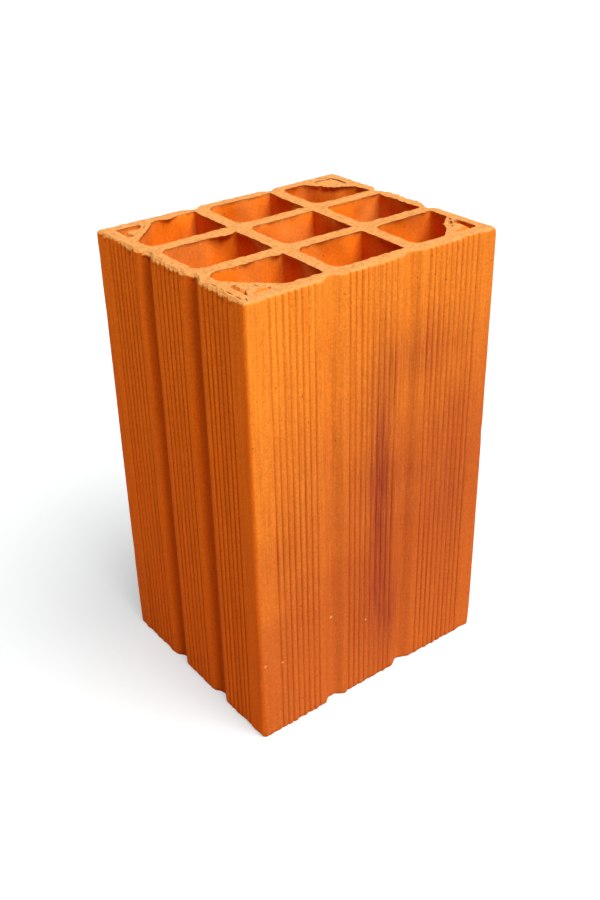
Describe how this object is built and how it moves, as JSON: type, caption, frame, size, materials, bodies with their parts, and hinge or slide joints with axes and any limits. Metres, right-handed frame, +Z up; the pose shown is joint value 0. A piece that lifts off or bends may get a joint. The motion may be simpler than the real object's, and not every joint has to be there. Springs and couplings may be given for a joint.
{
  "type": "hollow clay brick",
  "caption": "Hollow clay brick: an extruded and fired block with cells right through it, combed faces with rounded channels, and rough cut ends",
  "frame": {"origin": "middle of the lower cut end", "axes": "+Z up along the cells, X along the wide faces, Y along the narrow faces"},
  "size_m": [0.18, 0.15, 0.29],
  "materials": {
    "fired_clay": "rough unglazed fired clay"
  },
  "bodies": {
    "root": {"hollow_brick": "fired_clay"}
  },
  "joints": []
}
